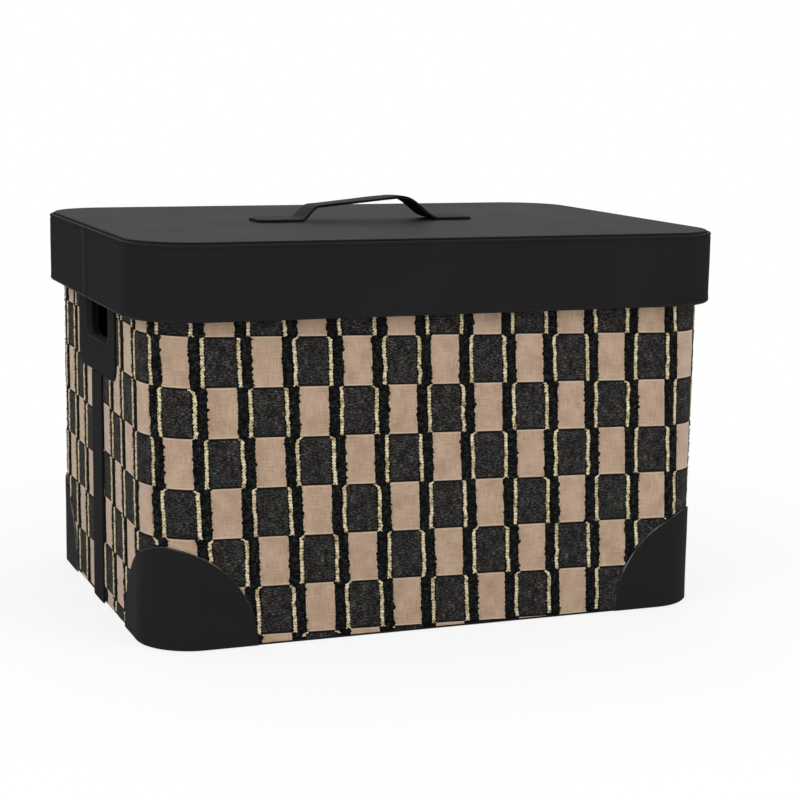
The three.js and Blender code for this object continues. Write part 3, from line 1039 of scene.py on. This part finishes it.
def patchOutline(inset):
    # Square at the top, rounded below, about the middle of the hole
    half = patchHigh.y - inset
    foot = patchLow.z - holeMiddle + inset
    head = patchHigh.z - holeMiddle - inset
    radius = patch["round"] - inset
    points = [(half, head), (-half, head)]
    points += arc(radius - half, foot + radius, radius, 180, 270, 8)
    points += arc(half - radius, foot + radius, radius, 270, 360, 8)
    return np.array(points)


def addPatch(name, side):
    outer = patchOutline(0)
    angles = np.unique(np.concatenate([
        np.linspace(-math.pi, math.pi, patch["rays"], endpoint=False),
        np.arctan2(outer[:, 1], outer[:, 0]),
    ]))
    margin = edging["leather"] + patch["gap"]
    inner = roundedRectangle(holeReach + margin, holeRise + margin, edging["round"] + margin)
    near = starRadius(inner, angles)
    low = patch["gap"]
    high = patchHigh.x - patchLow.x + low
    edge = patch["edge"]
    levels = [(0, low)] + [(inset * edge, high - drop * edge) for inset, drop in softEdge]
    rims = [(starRadius(patchOutline(inset), angles), level) for inset, level in levels]
    far = rims[-1][0]
    rims += [(far + (near + edge - far) * share, high) for share in (.25, .5, .75, 1)]
    rims += [(near + .3 * edge, high - .3 * edge), (near, high - edge), (near, low)]
    radius = np.array([rim[0] for rim in rims])
    out = np.array([np.full(len(angles), rim[1]) for rim in rims])
    across = radius * np.cos(angles)
    up = radius * np.sin(angles)
    out[3:8] += lumpy(70, across, up, patch["wave"])[3:8]
    points = onEnd(side, across, out, up + holeMiddle)
    faces = hoop(points)
    # The patch's outer edge is black: an inked cut edge, with painted shade along it
    marks = rowsOf(faces, len(angles)) < 3
    addPiece("patch_" + name, points, [faces], [leather, inkAndShadeEdge], "box",
             ["end_patch_" + name], marks=marks)


def addHoleEdging(name, side):
    outer = -edgeLow.x - clothHigh.x
    inner = -edgeHigh.x - clothHigh.x
    thick = edging["leather"]
    wide = thick + edging["lip"]
    roll, turn, soft = edging["roll"], edging["turn"], edging["turnSoft"]
    # (out from the hole's edge, out from the cloth)
    profile = [
        (thick, outer - roll), (thick, inner + thick), (wide - roll, inner + thick),
        (wide, inner + thick - roll), (wide, inner + roll), (wide - roll, inner),
        (turn, inner), (soft, inner + soft), (0, inner + turn),
    ]
    profile += [(0, inner + (outer - inner) * share) for share in (.3, .5, .7, .85)]
    profile += [(0, outer - roll), (.3 * roll, outer - .3 * roll), (roll, outer)]
    profile += [(thick - .3 * roll, outer - .1 * roll)]
    rows = []
    for grow, out in profile:
        ring = roundedRectangle(holeReach + grow, holeRise + grow, edging["round"] + grow)
        rows.append(onEnd(side, ring[:, 0], out, ring[:, 1] + holeMiddle))
    points = np.array(rows)
    # Faces deep in the hole are black, as painted shade
    deep = [all(grow == 0 and out < outer - edging["paintedEdge"] for grow, out in pair)
            for pair in zip(profile, profile[1:] + profile[:1])]
    addPiece("hole_edging_" + name, points, [hoop(points)[:, ::-1]], [paintedLightEdging, inkAndShadeEdge],
             "box", ["hand_hole_edge_" + name], marks=np.repeat(deep, points.shape[1]))


def addEndStrap(name, side):
    half = strapHigh.y
    low = patch["gap"]
    high = low + strapHigh.x - strapLow.x
    edge = strap["edge"]
    right = [(half, low)] + [(half - inset * edge, high - drop * edge) for inset, drop in softEdge]
    shares = np.linspace(.9, -.9, 11)
    over = [(half * share, high + strap["crown"] * (1 - share * share)) for share in shares]
    left = [(-across, out) for across, out in right[::-1]]
    across, out = np.array(right + over + left).T
    up = np.linspace(strapLow.z, strapHigh.z, strap["steps"])[:, None]
    shift = lumpy(71, up, 0, strap["sway"])
    lift = (strap["wave"][2] + lumpy(72, up, across, strap["wave"])) * (out > high - .1 * edge)
    points = onEnd(side, across + shift, out + lift, up)
    faces = rod(points, flip=True)
    columns = len(across)
    # The strap's edges are black: inked cut edges, with painted shade along them
    paintedEdge = np.isin(np.arange(len(faces[0])) % columns, (0, 1, columns - 3, columns - 2))
    addPiece("strap_" + name, points, faces, [leather, inkAndShadeEdge], "box",
             ["end_strap_" + name], marks=[*paintedEdge, True, True])


def buildEnds():
    for name, side in (("left", -1), ("right", 1)):
        addPatch(name, side)
        addHoleEdging(name, side)
        addEndStrap(name, side)
    print("end trim sewn")


# Rim binding, linings and floor pad

inside = {
    "lip": 7.4 * mm,  # the binding's inner face, in from the cloth's
    "roll": 2 * mm,
    "leather": 1.2 * mm,
    "ripple": (14 * mm, 1, .1 * mm),
    "lining": 1.2 * mm,
    "liningWave": (38 * mm, 60 * mm, .25 * mm),
    "liningSteps": (3 * mm, 24, 88),  # along, to a bend, and up
    "holeMargin": 1.5 * mm,
    "steps": (8 * mm, 20),  # of the binding and the pad, along and to a bend
    "padFill": .3,
}


def addBinding(places):
    low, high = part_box("rim_binding")
    outer = high.x - clothHigh.x
    inner = -inside["lip"]
    roll = inside["roll"]
    thick = inside["leather"]
    levels = [low.z, low.z + 4 * mm, low.z + 8 * mm]
    profile = [(outer, level) for level in levels]
    profile += arc(outer - roll, high.z - roll, roll, 0, 90, 5)
    profile += arc(inner + roll, high.z - roll, roll, 90, 180, 5)
    profile += [(inner, level) for level in levels[::-1]]
    profile += [(inner + thick, low.z), (inner + thick, high.z - thick)]
    profile += [(outer - thick, high.z - thick), (outer - thick, low.z)]
    points = sweep(profile, places)
    rounded = slice(3, 15)
    points[rounded, :, 2] += np.minimum(lumpy(30, places, 0, inside["ripple"]), 0)
    addPiece("binding", points, [hoop(points)], [leather], "box", ["rim_binding"])


def addWallLining():
    low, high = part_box("wall_lining")
    thick = inside["lining"]
    face = high.x - clothHigh.x - thick
    step, perBend, stepsUp = inside["liningSteps"]
    s = stations(step, perBend)[None, :]
    z = np.linspace(high.z, low.z, stepsUp)[:, None]
    out = face - inside["liningWave"][2] - lumpy(31, s, z, inside["liningWave"])
    points = wallSheet(s, z, out, face + thick)
    faces = gridFaces(*points.shape[:2], joinColumns=True)
    faces = faces[~byHole(points, inside["holeMargin"])[faces].any(axis=1)]
    piece = addPiece("wall_lining_cloth", points, [faces], [lining], "box", ["wall_lining"])


def addFloorPad(places):
    low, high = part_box("base_pad")
    edge = high.x - clothHigh.x
    middle = (low.z + high.z) / 2
    half = (high.z - low.z) / 2
    # It bulges most at mid height, and its upper edge is the rounder one
    rim = [(edge - .8 * mm, low.z), (edge - .2 * mm, middle - .6 * half), (edge, middle)]
    rim += [(edge - .25 * mm, middle + .5 * half), (edge - 1.4 * mm, high.z - .2 * mm)]
    rim += [(edge - 4 * mm, high.z)]
    points, faces = plate(rim, places, high.z)
    pad = addPiece("floor_pad", points, faces, [lining], "box", ["base_pad"])


def plate(rim, places, top, sway=(1, 1, 0), seed=0, flip=False):
    # A flat piece: its rim swept round, its top closed in rings towards the middle, and
    # its underside closed by one face. The top sways by (reach along, reach across, height).
    last = rim[-1][0]
    rings = [around(places, last - (cornerRadius + last) * share) for share in np.linspace(.12, 1, 9)]
    rings += [rings[-1] * share for share in (.85, .7, .55, .4, .25, .1)]
    flat = np.array(rings)
    along, across, high = sway
    lift = high * wander(seed, flat[..., 0] / along + 9, flat[..., 1] / across + 9)
    lift = lift * ease(0, .12, np.linspace(0, 1, len(flat)))[:, None]
    flat = np.concatenate([flat, (top + lift)[..., None]], -1)
    points = np.concatenate([sweep(rim, places), flat])
    return points, rod(points, flip)


def buildInside():
    places = stations(*inside["steps"])
    addBinding(places)
    addWallLining()
    addFloorPad(places)
    print("inside lined")


# Lid: leather over the top and round the skirt, and its lining

lidShape = {
    "seamAt": -352.5 * mm,  # the skirt's leather laps over itself on the left end
    "lap": .4 * mm,
    "lapReach": 12 * mm,
    "lapSlope": 2 * mm,
    "hemRound": 2.4 * mm,
    "face": .12 * mm,  # of the skirt, in from its bead
    "wave": (45 * mm, 30 * mm, .22 * mm),
    "waveSunk": .6,  # of its height, inwards
    "waveFoot": (1 * mm, 8 * mm),  # it grows to its full height between these, above the hem
    "waveHead": (5 * mm, 9 * mm),  # and below the top
    "beadRadius": 1.5 * mm,
    "beadDrop": 1.5 * mm,  # top of the panel down to the top of the bead
    "turnInDrop": 3.8 * mm,  # and down to the leather that is turned in over the lid board
    "turnInReach": 16 * mm,
    "turnUpFace": 5.3 * mm,  # the leather that is turned up inside the hem, in from the bead
    "turnUpReach": 10 * mm,
    "turnUpRound": 1.8 * mm,
    "panelIn": 3.5 * mm,  # the panel's edge, in from the bead
    "panelDrop": 3.4 * mm,
    "panelRoll": .8 * mm,
    "panelSway": (70 * mm, 60 * mm, .14 * mm),
    "leather": 1.2 * mm,
    "lining": 1.2 * mm,
    "liningSteps": 9,
    "steps": (7 * mm, 26),  # along, and to a bend
}


def addSkirt(places, seam):
    # Its profile is in millimetres, up the outside from the hem and back down inside
    top = lidTop / mm
    foot = hem / mm
    bead = lidShape["beadRadius"] / mm
    beadTop = top - lidShape["beadDrop"] / mm
    crease = beadTop - 2 * bead
    turnIn = top - lidShape["turnInDrop"] / mm
    reach = lidShape["turnInReach"] / mm
    inner = lidShape["turnUpFace"] / mm
    turnUp = foot + lidShape["turnUpReach"] / mm
    innerCurl = lidShape["turnUpRound"] / mm
    curl = lidShape["hemRound"] / mm
    thick = lidShape["leather"] / mm
    profile = arc(curl, foot + curl, curl, 270, 180, 8)
    profile += [(lidShape["face"] / mm, level) for level in np.linspace(foot + 4, crease - 1.4, 14)]
    profile += [(.2, crease - .9), (.4, crease - .4), (.65, crease - .1), (.55, crease + .25)]
    beadFoot = len(profile)
    profile += arc(bead, beadTop - bead, bead, 215, 0, 14)
    face = len(profile)
    profile += [(2 * bead, turnIn), (reach, turnIn), (reach, turnIn - thick), (thick, turnIn - thick)]
    profile += [(thick, foot + thick), (inner, foot + thick), (inner, turnUp), (inner + thick, turnUp)]
    profile += arc(inner + thick - innerCurl, foot + innerCurl, innerCurl, 0, -90, 4)
    points = sweep(inward(profile), places)

    # The face waves a little, except near the hem and the bead, and one end laps over the other
    heights = points[:face, :, 2]
    insets = np.array([inset for inset, _ in profile[:face]])[:, None]
    wave = lumpy(40, places, heights, lidShape["wave"]) - lidShape["wave"][2] * lidShape["waveSunk"]
    wave = wave * ease(*lidShape["waveFoot"], heights - hem)
    wave = wave * ease(*lidShape["waveHead"], lidTop - heights)
    lapEnd = seam - lidShape["lapReach"]
    lapped = (places < seam) * ease(lapEnd - lidShape["lapSlope"], lapEnd, places)
    outward = lidOut - insets * mm + wave + lidShape["lap"] * lapped
    points[:face] = onWall(places, heights, outward)
    faces = hoop(points)
    rowOf, columnOf = np.divmod(np.arange(len(faces)), len(places))
    step = np.searchsorted(places, seam) - 1
    polished = (rowOf > beadFoot + 4) & (rowOf < face) | (rowOf < 7)
    strip = (places[columnOf] >= lapEnd) & (columnOf < step) & (rowOf < beadFoot)
    addPiece("lid_skirt_leather", points, [faces], [leather, smoothLeather, lapLeather], "lid",
             ["lid_skirt_cover"], marks=np.where(polished, 1, np.where(strip, 2, 0)))


def addPanel(places):
    # The panel's leather is drawn over a card, and its edge rolls down into the groove
    top = lidTop / mm
    roll = lidShape["panelRoll"] / mm
    edge = lidShape["panelIn"] / mm
    foot = top - lidShape["panelDrop"] / mm
    thick = lidShape["leather"] / mm
    rim = [(edge + thick, top - thick), (edge + thick, foot), (edge + .2, foot), (edge, foot + .2)]
    rim += arc(edge + roll, top - roll, roll, 180, 90, 6)
    points, faces = plate(inward(rim), places, lidTop, lidShape["panelSway"], 41)
    # The edge that rolls down into the groove is black, as painted shade in the groove
    paintedEdge = np.arange(len(faces[0])) < 5 * len(places)
    addPiece("lid_top_leather", points, faces, [smoothLeather, inkAndShadeEdge], "lid",
             ["lid_top_cover"], marks=[*paintedEdge, True, False])


def addLidLinings(places):
    low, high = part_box("lid_top_lining")
    edge = high.x - clothHigh.x
    rim = [(edge - .3 * mm, high.z), (edge, (low.z + high.z) / 2), (edge - .3 * mm, low.z)]
    points, faces = plate(rim, places, low.z, flip=True)
    piece = addPiece("lid_top_lining_cloth", points, faces, [lining], "lid",
                     ["lid_top_lining"])

    low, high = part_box("lid_skirt_lining")
    inner = edge - lidShape["lining"]
    profile = [(edge, low.z), (edge, high.z)]
    profile += [(inner, level) for level in np.linspace(high.z, low.z, lidShape["liningSteps"])]
    points = sweep(profile, places)
    piece = addPiece("lid_skirt_lining_cloth", points, [hoop(points)], [lining], "lid",
                     ["lid_skirt_lining"])


def buildLid():
    seam = lidShape["seamAt"] + girth
    # Places close together where the skirt's leather steps over its lap
    near = seam + np.array([-.8, -.3, -.08, .08, .3, .8]) * mm
    near = np.concatenate([near, seam - lidShape["lapReach"] - np.linspace(0, 2, 5) * mm])
    places = stations(*lidShape["steps"], near)
    addSkirt(places, seam)
    addPanel(places)
    addLidLinings(places)
    print("lid covered")


# Handle: two layers of leather, sewn down at both ends and slack in the middle

handle = {
    "length": 178 * mm,
    "width": 32 * mm,
    "leather": .85 * mm,
    "shift": -8 * mm,
    "loop": 17.1 * mm,
    "endRound": 6 * mm,
    "steps": (9, 92),  # round a corner of an end, and from corner to corner
    "rise": (.186, .286),  # shares of its length
    "fall": (.648, .858),
    "twist": .004,  # the back edge comes up this much later
    "bank": .035,  # and stays this share lower
    "lean": .63,
    "pinch": 1.2 * mm,  # the loop is this much narrower on each side
    "gap": .2 * mm,
    "edge": .3 * mm,
    "crown": .1 * mm,
    "flutter": .25 * mm,
    "flutters": 9,  # to its length
    "tabMargins": (2 * mm, 1.5 * mm),  # from the stitches to where it rises and falls
    "stitch": 2.8 * mm,
    "stitchGap": 1 * mm,
    "stitchInset": 2.6 * mm,
    "stitchRound": 4 * mm,
    "stitchSteps": 7,
    "stitchSides": 6,
    "threadRadius": .26 * mm,
}


def smoother(share):
    share = np.clip(share, 0, 1)
    return share ** 3 * (share * (share * 6 - 15) + 10)


def handleHeight(share, side):
    # side is -1 at the front edge and 1 at the back
    (riseStart, riseEnd), (fallStart, fallEnd) = handle["rise"], handle["fall"]
    late = handle["twist"] * (1 + side) / 2
    rise = smoother((share - riseStart) / (riseEnd + late - riseStart))
    fall = smoother((share - fallStart) / (fallEnd - fallStart))
    across = np.clip((share - riseEnd) / (fallStart - riseEnd), 0, 1)
    crest = handle["loop"] * (1 - handle["bank"] * (1 + side) / 2)
    return crest * (handle["lean"] + (1 - handle["lean"]) * across) * rise * (1 - fall)


def addHandleLayer(name, node, lower, seed):
    length = handle["length"]
    radius = handle["endRound"]
    perCorner, between = handle["steps"]
    ends = radius * (1 - np.cos(np.linspace(0, math.pi / 2, perCorner)))
    middle = np.linspace(radius, length - radius, between)[1:-1]
    x = np.concatenate([ends, middle, (length - ends)[::-1]])[:, None]
    share = x / length
    short = radius - np.minimum(np.minimum(x, length - x), radius)
    half = handle["width"] / 2 - radius + np.sqrt(np.clip(radius ** 2 - short ** 2, 0, None))
    loose = ease(*handle["rise"], share) * (1 - ease(*handle["fall"], share))
    half = half - handle["pinch"] * loose
    edge = handle["edge"]
    high = handle["leather"]
    # Half of the section as (share of the half width, inset, height), then its mirror image
    right = [(.5, 0, 0), (1, edge, 0), (1, 0, edge)]
    right += [(1, inset * edge, high - drop * edge) for inset, drop in softEdge]
    over = [(part, 0, high + handle["crown"] * (1 - part * part)) for part in np.linspace(.85, -.85, 9)]
    left = [(-part, inset, level) for part, inset, level in right[::-1]]
    part, inset, level = np.array(right + over + left + [(0, 0, 0)]).T[:, None, :]
    across = half * part - np.sign(part) * inset
    flutter = handle["flutter"] * wander(seed, share * handle["flutters"], across / (14 * mm)) * loose
    offset = lower + level + flutter
    step = 1e-3
    slope = (handleHeight(share + step, part) - handleHeight(share - step, part)) / (2 * step * length)
    tilt = np.arctan(slope)
    px = x - np.sin(tilt) * offset - length / 2 + handle["shift"]
    pz = handleHeight(share, part) + np.cos(tilt) * offset + lidTop + handle["gap"]
    points = np.stack([px, across, pz], -1)
    faces = rod(points, flip=True)
    columnOf = np.arange(len(faces[0])) % points.shape[1]
    edges = (columnOf < len(right) - 1) | (columnOf >= len(right) + len(over))
    addPiece(name, points, faces, [handleLeather, leather], "lid", [node],
             marks=[*edges, True, True])


def stitchRuns():
    # Both ends of every stitch, round a rectangle on each tab
    inset, length = handle["stitchInset"], handle["length"]
    risen, fallen = handle["tabMargins"]
    tabs = ((inset, handle["rise"][0] * length - risen),
            (handle["fall"][1] * length + fallen, length - inset))
    runs = []
    for start, end in tabs:
        half = (end - start) / 2
        outline = roundedRectangle(half, handle["width"] / 2 - inset, handle["stitchRound"], 6)
        outline = outline + (start + half - length / 2 + handle["shift"], 0)
        loop = np.vstack([outline, outline[:1]])
        far = np.concatenate([[0], np.cumsum(np.linalg.norm(np.diff(loop, axis=0), axis=1))])
        count = round(far[-1] / (handle["stitch"] + handle["stitchGap"]))
        pitch = far[-1] / count
        for number in range(count):
            along = np.linspace(0, pitch - handle["stitchGap"], handle["stitchSteps"]) + number * pitch
            runs.append((np.interp(along, far, loop[:, 0]), np.interp(along, far, loop[:, 1])))
    return runs


def addHandleStitches():
    level = 2 * handle["leather"] + 2 * handle["gap"] + lidTop
    steps, sides = handle["stitchSteps"], handle["stitchSides"]
    turns = 2 * math.pi * np.arange(sides) / sides
    bulge = np.sqrt(np.clip(1 - np.linspace(-.97, .97, steps) ** 2, 0, 1))
    radius = handle["threadRadius"] * bulge[:, None]
    points = []
    for x, y in stitchRuns():
        heading = math.atan2(y[-1] - y[0], x[-1] - x[0])
        px = x[:, None] - math.sin(heading) * radius * np.cos(turns)
        py = y[:, None] + math.cos(heading) * radius * np.cos(turns)
        pz = level + handle["threadRadius"] * .25 + radius * np.sin(turns)
        points.append(np.stack([px, py, pz], -1).reshape(-1, 3))
    faces = blocks(gridFaces(steps, sides, joinColumns=True), len(points), steps * sides).reshape(-1, 4)
    addPiece("handle_stitches", np.concatenate(points), [faces], [thread], "lid")


def buildHandle():
    addHandleLayer("handle_lower_leather", "handle_backing", 0, 60)
    addHandleLayer("handle_upper_leather", "handle_strap", handle["leather"] + handle["gap"], 61)
    addHandleStitches()
    print("handle sewn")


# Studio

studio = {
    "cameraPlace": (-.5397, -1.4564, .4107),
    "yaw": 21.2588,
    "pitch": -9.6855,
    "roll": .8072,
    "lens": 88.341,
    "film": 36,
    "farthest": 50,
    "floor": .93,
    "floorSize": 9,
    "fade": (.34, .85),  # from the middle of the box
    "nearWhite": .78,
    "sky": .82,
    "aim": (0, 0, .12),
    "lamps": [
        # place, size, power
        ((-1.9, -1.0, 1.7), 1.4, 15),
        ((1.3, -1.7, 1.6), 1.2, 12),
        ((.2, 1.4, 2.4), 1.6, 8),
    ],
}


def setCamera():
    yaw, pitch, roll = [math.radians(studio[part]) for part in ("yaw", "pitch", "roll")]
    turn = Matrix.Rotation(-yaw, 4, "Z") @ Matrix.Rotation(math.pi / 2 + pitch, 4, "X")
    turn = turn @ Matrix.Rotation(roll, 4, "Z")
    data = bpy.data.cameras.new("camera")
    data.sensor_width = studio["film"]
    data.sensor_fit = "HORIZONTAL"
    data.lens = studio["lens"]
    data.clip_end = studio["farthest"]
    camera = placed("camera", data)
    camera.matrix_world = Matrix.Translation(studio["cameraPlace"]) @ turn
    bpy.context.scene.camera = camera


def setFloor():
    # Lit like paper near the box, and plain white further out
    mesh = bpy.data.meshes.new("floor")
    size = studio["floorSize"]
    corners = [(-size, -size, 0), (size, -size, 0), (size, size, 0), (-size, size, 0)]
    mesh.from_pydata(corners, [], [(0, 1, 2, 3)])
    finish = Finish("paleFloor", Specular_IOR_Level=0, Roughness=1)
    where = finish.where()
    speck = finish.noise(where, 30)
    pale = (studio["floor"],) * 3
    finish.set(Base_Color=finish.blend(speck, pale, (studio["floor"] * .99,) * 3))
    away = finish.node("VectorMath", {"operation": "LENGTH"}, {0: where}, "Value")
    near, far = studio["fade"]
    share = finish.node("MapRange", {"interpolation_type": "SMOOTHSTEP"}, {
        "Value": away, "From Min": near, "From Max": far, "To Min": studio["nearWhite"], "To Max": 1,
    })
    white = finish.node("Emission", None, {"Color": (1, 1, 1), "Strength": 1})
    surface = finish.node("MixShader", None, {0: share * finish.seen(), 1: finish.surface, 2: white})
    mesh.materials.append(finish.done(surface))
    placed("floor", mesh)


def setLight():
    world = bpy.data.worlds.new("studio")
    bpy.context.scene.world = world
    world.use_nodes = True
    sky = Nodes(world.node_tree)
    strength = sky.seen() * (1 - studio["sky"]) + studio["sky"]
    background = sky.node("Background", None, {"Color": (1, 1, 1), "Strength": strength})
    sky.node("OutputWorld", None, {"Surface": background})
    for number, (place, size, power) in enumerate(studio["lamps"]):
        data = bpy.data.lights.new(f"softbox{number}", "AREA")
        data.shape = "DISK"
        data.size = size
        data.energy = power
        lamp = placed(data.name, data)
        lamp.location = place
        aim = Vector(studio["aim"]) - Vector(place)
        lamp.rotation_euler = aim.to_track_quat("-Z", "Y").to_euler()
    bpy.context.scene.view_settings.view_transform = "Standard"


setCamera()
setFloor()
setLight()
finishBoards()
buildCloth()
buildGuards()
buildEnds()
buildInside()
buildLid()
buildHandle()
